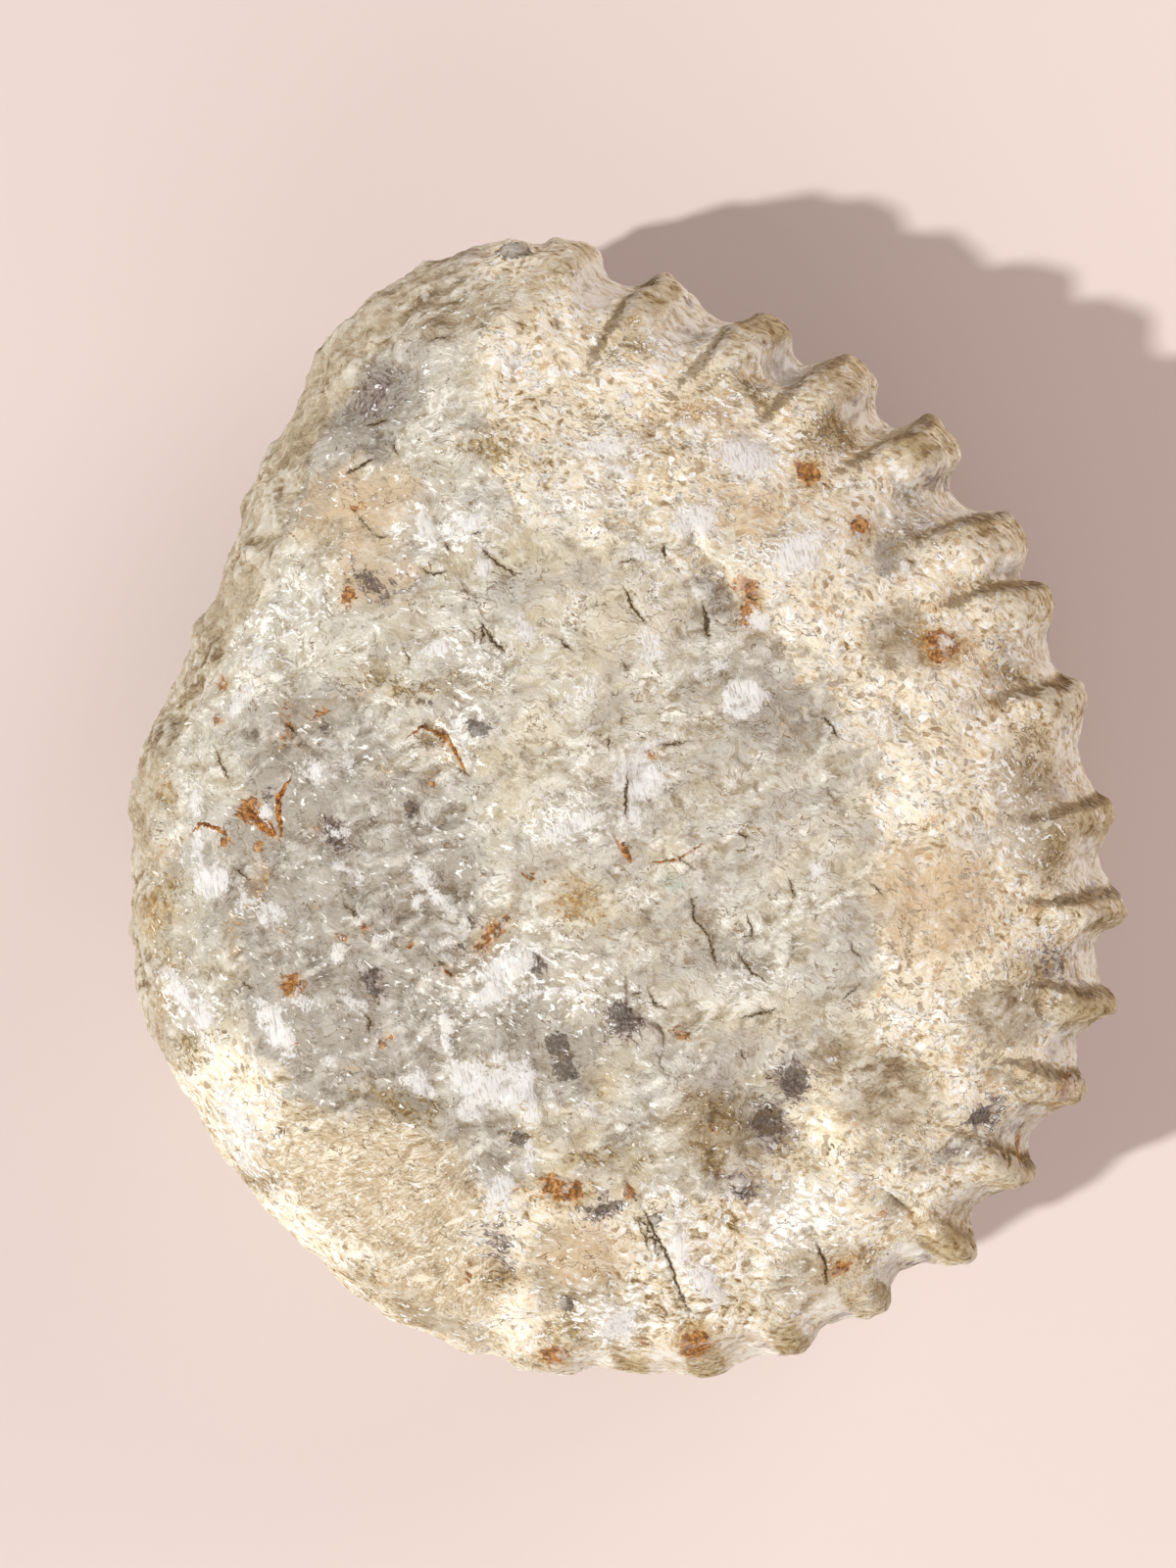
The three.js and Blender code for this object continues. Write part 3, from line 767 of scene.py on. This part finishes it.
# Where each rib's lip is, for the painted shade along its upper, shaded side.
store("rib_line", (0.9 - from_lip) * smooth(0.74, 0.9, share) * sharp_ribs - 1 + sharp_ribs)
from_crest = np.min([np.abs(rib_angle - crest) for crest in crest_angle], axis=0)
near_rim = smooth(0.86, 0.95, share) * on_shell
store("scoop", smooth(2.0, 2.8, from_crest) * near_rim)
store("rib_top", smooth(2.6, 1.6, from_crest) * near_rim)
past_ridge, from_ridge, _ = beside(points[:, :2] + 0.5 * wander, [at(*stop) for stop in WEST_RIDGE])
behind_ridge = smooth(-0.6, 0.6, past_ridge) * (from_ridge < WALL_REACH)
store("wall", np.maximum(broken * smooth(0.9, 0.97, share), behind_ridge))

# %% [markdown]
# ## The stone's material
#
# Limestone is never one colour. A few small helpers keep the recipe readable: each makes one node
# and returns its output, so that the recipe below reads like a list of coats of paint.

# %% Helpers for the recipe
LIGHT = np.array([1.42, 1.35, 1.30])  # how bright a white card looks under these lights


def new_look(name):
    """An empty material, and the tree that its nodes go in."""
    look = bpy.data.materials.new(name)
    look.use_nodes = True
    look.node_tree.nodes.clear()
    return look, look.node_tree


def colour(red, green, blue):
    """The paint that looks like this colour under the lamps. 255 looks like plain white."""
    seen = np.array([red, green, blue]) / 255
    linear = np.where(seen < 0.04045, seen / 12.92, ((seen + 0.055) / 1.055) ** 2.4)
    return (*np.minimum(linear / LIGHT, 0.95).tolist(), 1)


def make(kind, inputs=(), **settings):
    """One node with its sockets filled: a plain value is set, and another node's output is linked."""
    made = tree.nodes.new(kind)
    for name, value in settings.items():
        setattr(made, name, value)
    for place, value in dict(inputs).items():
        socket = made.inputs[place]
        if isinstance(value, bpy.types.NodeSocket):
            tree.links.new(value, socket)
        else:
            socket.default_value = value
    return made


def sums(operation, a, b=0.0, c=0.0):
    return make("ShaderNodeMath", {0: a, 1: b, 2: c}, operation=operation).outputs[0]


def plus(a, b):
    return sums("ADD", a, b)


def minus(a, b):
    return sums("SUBTRACT", a, b)


def times(a, b):
    return sums("MULTIPLY", a, b)


def step(value, start, end):
    """0 below start, 1 above end."""
    mapped = make("ShaderNodeMapRange", {"Value": value, "From Min": start, "From Max": end},
                  interpolation_type="SMOOTHSTEP")
    return mapped.outputs["Result"]


def coat(under, over, cover):
    """Lays one colour over another."""
    mixed = make("ShaderNodeMix", {"Factor": cover}, data_type="RGBA", blend_type="MIX")
    for place, value in ((6, under), (7, over)):
        if isinstance(value, bpy.types.NodeSocket):
            tree.links.new(value, mixed.inputs[place])
        else:
            mixed.inputs[place].default_value = colour(*value)
    return mixed.outputs[2]


def stored(name):
    return make("ShaderNodeAttribute", attribute_name=name).outputs["Fac"]


def ramp(value, *stops):
    """Colours laid side by side along a value. Each stop is a place from 0 to 1 and its colour."""
    made = make("ShaderNodeValToRGB", {"Fac": value})
    while len(made.color_ramp.elements) < len(stops):
        made.color_ramp.elements.new(1.0)
    for element, (place_on_ramp, shade) in zip(made.color_ramp.elements, stops):
        element.position, element.color = place_on_ramp, colour(*shade)
    return made.outputs["Color"]


def bent(size, amount):
    """The place on the stone, pushed about by noise, so that strokes bend and swirl."""
    warp = make("ShaderNodeTexNoise", {"Vector": place, "Scale": 1 / (size * MM), "Detail": 2.0})
    centred = make("ShaderNodeVectorMath", {0: warp.outputs["Color"], 1: (0.5, 0.5, 0.5)},
                   operation="SUBTRACT")
    return make("ShaderNodeVectorMath", {
        0: centred.outputs[0], 1: (amount * MM,) * 3, 2: place}, operation="MULTIPLY_ADD").outputs[0]


def speckle(size, detail=3.0, roughness=0.6, stretch=(1, 1, 1), turn=0.0, shift=0.0, where=None):
    """Noise from 0 to 1 with spots of the given size in millimetres."""
    scale = [1 / (size * MM * amount) for amount in stretch]
    turned = make("ShaderNodeMapping", {"Vector": where or place, "Rotation": (0, 0, np.radians(turn))})
    moved = make("ShaderNodeMapping", {
        "Vector": turned.outputs[0], "Scale": scale, "Location": (shift, shift * 0.7, shift * 0.3)})
    spots = make("ShaderNodeTexNoise", {
        "Vector": moved.outputs[0], "Scale": 1.0, "Detail": detail, "Roughness": roughness})
    return spots.outputs["Fac"]


def value_of_each_chip(size):
    """Chips of about the given size in millimetres, each with one value from 0 to 1."""
    cells = make("ShaderNodeTexVoronoi", {"Vector": swirl, "Scale": 1 / (size * MM)})
    return make("ShaderNodeSeparateColor", {"Color": cells.outputs["Color"]}).outputs[0]


def around(value, amount):
    """How far a noise is from its middle, times an amount."""
    return times(minus(value, 0.5), amount)


def scribble(value, thickness):
    """Thin winding lines: the places where a noise crosses its middle."""
    return step(sums("ABSOLUTE", minus(value, 0.5)), thickness, 0.3 * thickness)


# %% Noise to paint with
stone_look, tree = new_look("weathered_limestone")
place = make("ShaderNodeTexCoord").outputs["Object"]
swirl = bent(7, 4.5)
fine = speckle(0.5, 2, 0.6, shift=3)
grit = speckle(1.0, 4, 0.7, shift=9, where=swirl)
flakes = speckle(1.4, 4, 0.64, stretch=(1.5, 0.8, 1), turn=25, shift=5, where=swirl)
strokes = speckle(0.6, 3, 0.6, stretch=(2.4, 0.6, 1), turn=20, shift=27, where=swirl)
shards = speckle(3.2, 6, 0.7, stretch=(1.5, 0.75, 1), turn=-18, shift=7, where=swirl)
curls = speckle(3.6, 3, 0.6, stretch=(1.4, 0.8, 1), turn=20, shift=15, where=swirl)
flecks = speckle(2.6, 5, 0.8, shift=13)
mottle = speckle(8, 6, 0.7, shift=21, where=swirl)
clouds = speckle(26, 3, 0.55, shift=33)
busy = step(speckle(15, 4, 0.62, stretch=(1.5, 0.8, 1), turn=-20, shift=61, where=swirl), 0.42, 0.58)
hairs = times(scribble(curls, 0.010), step(mottle, 0.50, 0.55))
hairs_too = times(scribble(shards, 0.008), step(mottle, 0.46, 0.41))
all_hairs = sums("MAXIMUM", hairs, hairs_too)
chip, crumb = value_of_each_chip(6.5), value_of_each_chip(1.1)

# %% Coats of colour: the crust on the shell, then the rock in the middle
white, bone, bark = (286, 284, 276), (272, 265, 248), (160, 126, 78)
cream, biscuit, sand = (274, 261, 232), (258, 240, 206), (230, 208, 168)
crust_contrast = sums("MULTIPLY_ADD", busy, 0.5, 0.7)
tone = sums("MULTIPLY_ADD", around(flakes, 1.0), crust_contrast, plus(around(mottle, 0.6), 0.5))
tone = plus(tone, plus(around(clouds, 0.3), around(strokes, 0.2)))
crust = ramp(tone, (0.31, bark), (0.34, sand), (0.4, sand), (0.415, biscuit), (0.47, biscuit),
             (0.485, cream), (0.57, cream), (0.585, bone), (0.65, bone), (0.665, white))
crust = coat(crust, white, times(step(crumb, 0.86, 0.88), 0.9))
crust = coat(crust, bark, times(step(crumb, 0.07, 0.05), 0.6))
honey = times(step(speckle(5, 5, 0.8, shift=51), 0.57, 0.62), 0.7)
crust = coat(crust, (230, 186, 128), honey)

loam, putty, dove = (180, 163, 134), (219, 208, 184), (238, 230, 212)
contrast = sums("MULTIPLY_ADD", busy, 0.8, 0.4)
rock_tone = sums("MULTIPLY_ADD", around(shards, 1.0), contrast, plus(around(mottle, 0.4), 0.5))
rock_tone = plus(rock_tone, plus(around(chip, 0.07), around(strokes, 0.26)))
hay = (204, 189, 160)
rock = ramp(rock_tone, (0.31, loam), (0.34, hay), (0.4, hay), (0.415, putty), (0.485, putty),
            (0.5, dove), (0.57, dove), (0.585, bone), (0.65, bone), (0.66, white))
# Painted shade: brown darkening over the wide hollows of the rock, from the valley depth.
valley_painted_shade = times(step(stored("valley"), 0.2, 1.0), step(flakes, 0.58, 0.46))
rock = coat(rock, (150, 124, 88), times(valley_painted_shade, 0.8))
rock = coat(rock, (244, 228, 190), times(step(clouds, 0.5, 0.6), 0.4))
cool = step(speckle(13, 4, 0.65, stretch=(1.6, 0.8, 1), turn=-24, shift=77, where=swirl), 0.49, 0.56)
rock = coat(rock, (204, 197, 188), times(cool, 0.45))
edge_of_flank = plus(stored("flank"), plus(around(flecks, 1.2), around(mottle, 1.2)))
body = coat(rock, crust, step(edge_of_flank, 0.35, 0.65))


# %% A stain, broken up by noise


def stained(under, over, name, spots, depth, solid, crumbs):
    """A stain: a faint even tint where the patch is, and crumbs that are denser towards its middle."""
    amount = stored(name)
    tint = times(step(amount, -2.5, 3.5), solid)
    wet = coat(under, over, tint)
    crowding = sums("MULTIPLY_ADD", amount, 0.2 * depth, around(spots, 1.0))
    return coat(wet, over, times(step(crowding, 0.03, 0.07), crumbs))


# %% The fan: filaments that spread from one corner
FAN_CORNER = at(6.3, 0.45).tolist()
place_parts = make("ShaderNodeSeparateXYZ", {"Vector": place})
from_corner = [minus(place_parts.outputs[axis], FAN_CORNER[axis] * MM) for axis in (0, 1)]
bearing = sums("ARCTAN2", from_corner[1], from_corner[0])
outreach = sums("SQRT", plus(sums("POWER", from_corner[0], 2.0), sums("POWER", from_corner[1], 2.0)))
spokes = make("ShaderNodeCombineXYZ", {
    "X": times(bearing, 26.0), "Y": sums("DIVIDE", outreach, 4 * MM)})
filaments = make("ShaderNodeTexNoise", {
    "Vector": spokes.outputs[0], "Scale": 1.0, "Detail": 5.0, "Roughness": 0.74, "Distortion": 2.2})
filament = plus(filaments.outputs["Fac"], plus(around(strokes, 0.4), around(mottle, 0.3)))
beige = ramp(filament, (0.3, (170, 140, 98)), (0.38, (210, 186, 148)),
             (0.49, (224, 202, 166)), (0.54, (238, 220, 188)), (0.62, (262, 252, 232)))
fibres = speckle(2.4, 3, 0.6, stretch=(3, 0.5, 1), turn=-35, shift=57, where=swirl)
beige = coat(beige, cream, times(step(fibres, 0.58, 0.62), 0.8))
beige = coat(beige, (168, 138, 96), times(step(fibres, 0.38, 0.34), 0.5))
body = stained(body, beige, "fan", flecks, 0.5, 0.9, 1.0)

# %% Broad stains and the violet painted shade, laid one over another
steel, pewter, ash = (192, 182, 166), (160, 148, 132), (208, 199, 185)
grey = ramp(rock_tone, (0.33, (128, 114, 100)), (0.35, pewter), (0.42, pewter), (0.435, steel),
            (0.52, steel), (0.535, ash), (0.61, ash), (0.625, (230, 223, 212)))
tan = ramp(rock_tone, (0.34, (134, 112, 82)), (0.42, (174, 152, 120)),
           (0.5, (206, 188, 158)), (0.6, (228, 217, 196)))
ochre = ramp(grit, (0.38, (238, 208, 152)), (0.46, (214, 174, 108)),
             (0.6, (176, 128, 66)))
olive = ramp(grit, (0.38, (212, 190, 142)), (0.47, (176, 148, 94)), (0.6, (128, 100, 56)))
# Violet-brown stain colour, also used as painted shade in hollows.
violet_stain_and_shade = ramp(grit, (0.42, (178, 162, 152)), (0.5, (140, 122, 114)),
              (0.58, (104, 86, 78)))
STAINS = [
    (grey, "grey", mottle, 0.25, 0.7, 0.9),
    (tan, "tan", flakes, 0.3, 0.6, 0.8),
    ((236, 206, 164), "peach", mottle, 0.1, 0.45, 0.5),
    (ochre, "ochre", flakes, 0.2, 0.45, 0.85),
    (olive, "olive", flakes, 0.22, 0.45, 0.85),
    (violet_stain_and_shade, "violet_stain_and_shade", flakes, 0.22, 0.4, 0.9),
    (ochre, "rust", flakes, 0.4, 0.3, 0.8),
    (dove, "chalky", shards, 0.1, 0.4, 0.6),
    (white, "chalky", flakes, 0.08, 0.0, 0.9),
    ((198, 212, 194), "copper", flecks, 0.3, 0.4, 0.5),
]
for stain in STAINS:
    body = stained(body, *stain)
body = coat(body, (138, 108, 66), times(all_hairs, 0.85))

# %% Ribs and the broken wall, with painted shade along the ribs' lips
shell = ramp(tone, (0.34, (206, 184, 148)), (0.42, (238, 222, 194)),
             (0.5, (252, 242, 222)), (0.58, (262, 256, 244)))
in_scoop = step(plus(stored("scoop"), around(flecks, 1.2)), 0.35, 0.65)
body = coat(body, shell, times(in_scoop, 0.92))
rib_tone = ramp(flakes, (0.36, (146, 118, 74)), (0.45, (188, 162, 114)),
                (0.56, (220, 200, 158)))
body = coat(body, rib_tone, times(stored("rib_top"), step(mottle, 0.36, 0.54)))
lilac = coat((190, 178, 170), (146, 130, 126), step(flakes, 0.52, 0.44))
dull_scoop = times(stored("scoop"), step(speckle(9, 3, 0.6, shift=73), 0.57, 0.62))
body = coat(body, lilac, times(dull_scoop, 0.75))
# Painted shade: a brown line along the upper, shaded side of each rib's lip.
rib_lip_painted_shade = step(plus(stored("rib_line"), around(flakes, 2.6)), 0.1, 0.4)
umber = ramp(flakes, (0.42, (98, 74, 44)), (0.5, (132, 104, 68)), (0.58, (172, 146, 104)))
body = coat(body, umber, times(rib_lip_painted_shade, 0.8))
body = coat(body, tan, times(stored("wall"), step(flecks, 0.34, 0.44)))


# %% Sharp patches: rust, dark minerals and white calcite


def patch(name, spots, ragged_by):
    """1 inside a patch, 0 outside, with a sharp ragged edge."""
    frayed = plus(stored(name), around(spots, ragged_by))
    return step(frayed, 0.0, 0.15)


rusty = ramp(grit, (0.4, (224, 168, 100)), (0.47, (194, 124, 58)), (0.58, (112, 66, 32)))
body = coat(body, rusty, times(patch("rust", flakes, 3.5), 0.85))
dark = coat((128, 112, 100), (80, 67, 58), step(fine, 0.44, 0.54))
body = coat(body, dark, times(patch("dark", grit, 4.5), 0.8))
streaks = speckle(0.5, 3, 0.6, stretch=(0.7, 5, 1), turn=-12, shift=41)
chalk = ramp(streaks, (0.44, (256, 253, 248)), (0.56, (246, 241, 234)),
             (0.64, (206, 196, 184)))
worn_edge = plus(plus(around(flecks, 7.0), around(grit, 4.0)), around(streaks, 3.0))
plate = step(plus(stored("calcite"), worn_edge), -0.2, 0.4)
body = coat(body, chalk, times(plate, 0.94))


# %% Lines: white threads, rust veins and cracks, with painted shade in hollows and painted highlight on ridges


def line(name, spots, wiggle):
    """1 inside a line, 0 outside, from its offset and half width."""
    shifted = plus(stored(name + "_offset"), around(spots, wiggle))
    room = minus(stored(name + "_width"), sums("ABSOLUTE", shifted))
    return step(room, -0.03, 0.05)


body = coat(body, chalk, times(line("thread", grit, 3.4), step(fine, 0.38, 0.46)))
body = coat(body, rusty, line("vein", grit, 2.0))
# Painted shade: brown darkening in the small hollows of the skin.
hollow_painted_shade = step(plus(stored("hollow"), around(grit, 2.0)), 0.2, 0.9)
body = coat(body, (152, 128, 92), times(hollow_painted_shade, 0.5))
# Painted highlight: bone white on the small ridges, where the hollow value is lowest.
crest = step(minus(around(flakes, 2.0), stored("hollow")), 0.1, 0.6)
body = coat(body, bone, times(crest, times(busy, 0.4)))
crack = line("crack", flecks, 3.0)
crack_is_near = step(stored("crack_width"), -0.1, 0.2)
beside_crack = step(sums("ABSOLUTE", plus(stored("crack_offset"), around(flecks, 3.0))), 0.7, 0.1)
crack_edge = times(beside_crack, crack_is_near)
body = coat(body, (156, 130, 84), times(crack_edge, 0.7))
body = coat(body, (74, 54, 34), times(crack, 0.9))

# %% Grain that the light can catch
relief_map = times(shards, contrast)
for noise_map, weight in [(mottle, 2.6), (flakes, 0.8), (grit, 0.6)]:
    relief_map = sums("MULTIPLY_ADD", noise_map, weight, relief_map)
relief_map = minus(relief_map, times(all_hairs, 0.3))
relief_map = minus(relief_map, crack)
sleek = sums("MAXIMUM", sums("MAXIMUM", stored("scoop"), times(stored("wall"), 0.7)), plate)
grain_bump = make("ShaderNodeBump", {
    "Height": relief_map, "Strength": sums("MULTIPLY_ADD", sleek, -0.4, 0.7), "Distance": 0.6 * MM})
finish_coat = make("ShaderNodeBsdfPrincipled", {
    "Base Color": body, "Normal": grain_bump.outputs[0], "Specular IOR Level": 0.25,
    "Roughness": step(plus(grit, times(stored("calcite"), -0.4)), -0.6, 0.5)})
make("ShaderNodeOutputMaterial", {"Surface": finish_coat.outputs[0]})
skin.materials.clear()
skin.materials.append(stone_look)

# %% Put the stone in the block's place
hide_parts("ammonite")
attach(stone, "root")

# %% [markdown]
# ## Table, light and camera
#
# A pale matt table under one strong lamp on the left, two weak ones, and an even glow from all round.
# The strong lamp is small enough to throw the ribs' shadow and big enough to blur its edge. The
# camera hangs over the fossil and looks straight down.

# %% Table
bpy.ops.mesh.primitive_plane_add(size=4, location=(0, 0, 0))
table = bpy.context.object
table.name = "table"
table_look, tree = new_look("pale_table")
place = make("ShaderNodeTexCoord").outputs["Object"]
drift = speckle(300, 2, 0.5)
blush = coat((248, 229, 221), (252, 234, 226), step(drift, 0.3, 0.7))
matt = make("ShaderNodeBsdfPrincipled", {"Base Color": blush, "Roughness": 0.9, "Specular IOR Level": 0.1})
make("ShaderNodeOutputMaterial", {"Surface": matt.outputs[0]})
table.data.materials.append(table_look)

# %% Lamps
LAMP_FROM = Vector((-0.94, -0.34, 0)).normalized()
LAMP_RISE = 43.0  # degrees above the table


def soft_lamp(name, direction, rise, away, size, energy, tint):
    """A round lamp that looks at the middle of the table, this many degrees up and metres away."""
    data = bpy.data.lights.new(name, "AREA")
    data.shape = "DISK"
    data.size, data.energy, data.color = size, energy, tint
    lamp = put(name, data)
    rise = float(np.radians(rise))
    toward = direction * float(np.cos(rise)) + Vector((0, 0, float(np.sin(rise))))
    lamp.location = toward * away
    lamp.rotation_euler = toward.to_track_quat("Z", "Y").to_euler()
    return lamp


soft_lamp("key_lamp", LAMP_FROM, LAMP_RISE, 6.0, 0.25, 335.0, (1.0, 0.985, 0.965))
soft_lamp("front_fill", Vector((0.25, -1, 0)).normalized(), 35.0, 0.9, 0.8, 1.9, (1.0, 0.87, 0.83))
soft_lamp("back_fill", Vector((0.8, 0.6, 0)).normalized(), 24.0, 1.1, 0.9, 6.0, (1.0, 0.87, 0.83))

world = bpy.data.worlds.new("studio")
bpy.context.scene.world = world
world.use_nodes = True
glow = world.node_tree.nodes["Background"]
glow.inputs["Color"].default_value = (1.0, 0.85, 0.80, 1)
glow.inputs["Strength"].default_value = 0.39

# %% Camera
CAMERA_OVER = (-7.3, 4.8)
CAMERA_HEIGHT = 488.0
camera_data = bpy.data.cameras.new("camera")
camera_data.sensor_width = 36
camera_data.lens = 56.0
camera_data.clip_start = 0.01
camera_data.clip_end = 10
camera = put("camera", camera_data)
camera.location = Vector((*CAMERA_OVER, CAMERA_HEIGHT)) * MM
bpy.context.scene.camera = camera
bpy.context.scene.view_settings.view_transform = "Standard"
